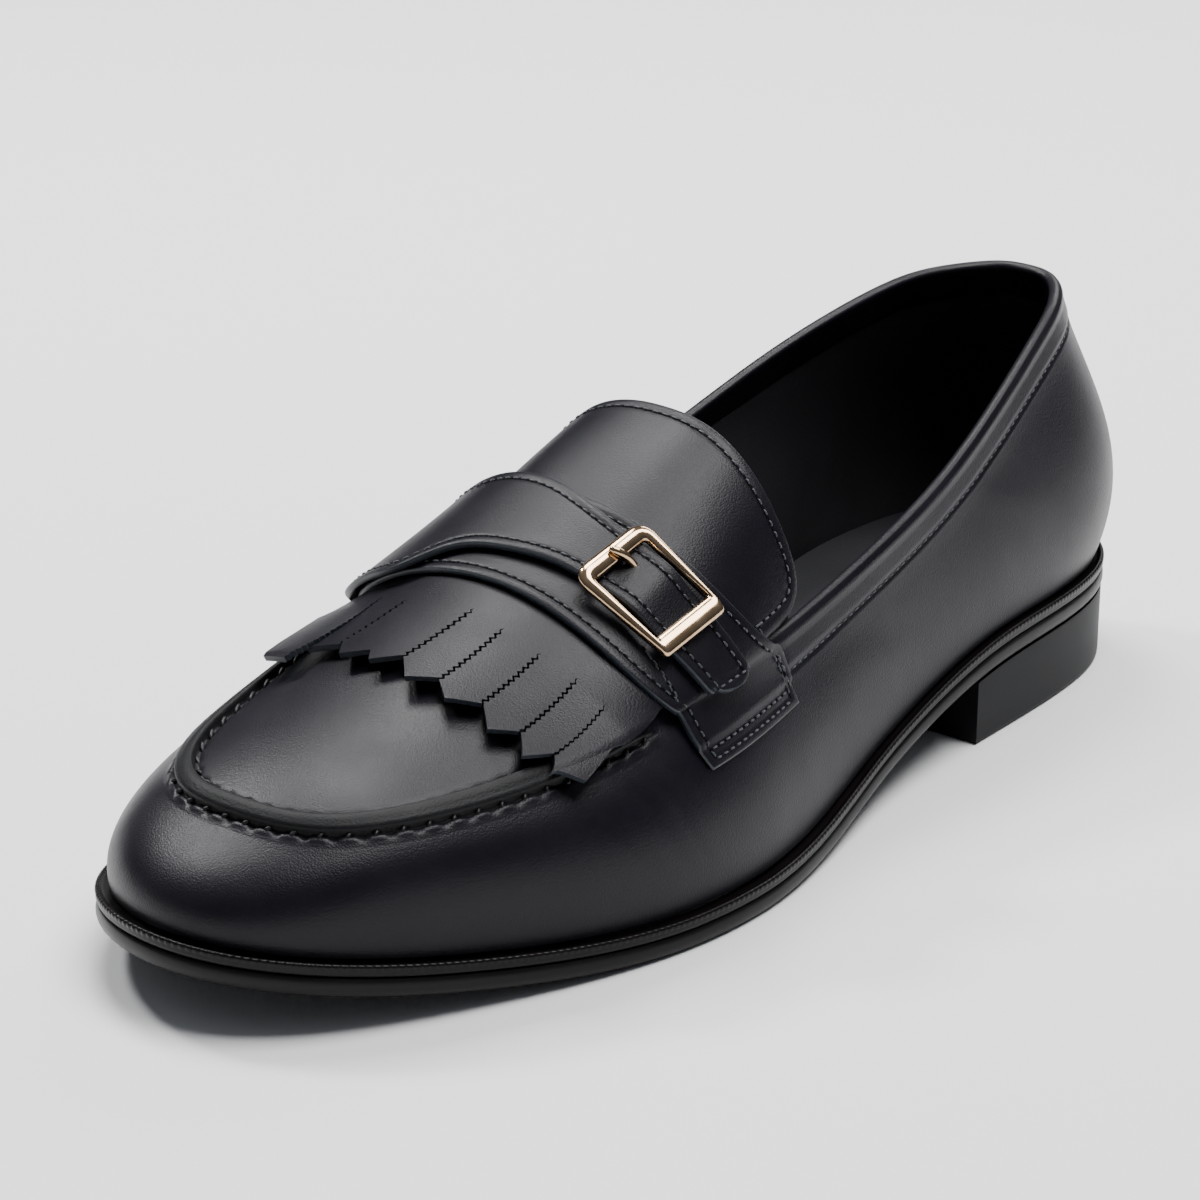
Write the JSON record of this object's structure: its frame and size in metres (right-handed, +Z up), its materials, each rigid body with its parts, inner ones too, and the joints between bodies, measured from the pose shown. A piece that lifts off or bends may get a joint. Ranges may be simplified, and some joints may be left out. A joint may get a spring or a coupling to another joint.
{
  "type": "kiltie loafer",
  "caption": "Left black leather kiltie loafer with an apron toe, fringed kiltie, saddle with a buckle strap, tongue, welted sole and low block heel.",
  "frame": {"origin": "on the floor, in the middle of the shoe's box seen from above", "axes": "-Y from heel to toe, +X to the outer side of the left foot, +Z up"},
  "size_m": [0.1086, 0.3019, 0.0883],
  "materials": {
    "calf_leather": "smooth black box calf, satin",
    "lining_leather": "black lining leather, matt",
    "welt": "black burnished welt",
    "sole_leather": "black edge finish",
    "heel_stack": "black edge finish",
    "buckle_metal": "polished champagne gold plate"
  },
  "bodies": {
    "root": {"outsole": "sole_leather", "welt": "welt", "heel_block": "heel_stack", "insole": "lining_leather", "upper": "calf_leather", "tongue": "calf_leather", "kiltie": "calf_leather", "saddle": "calf_leather", "buckle_strap": "calf_leather", "buckle_frame": "buckle_metal", "buckle_prong": "buckle_metal"}
  },
  "joints": []
}
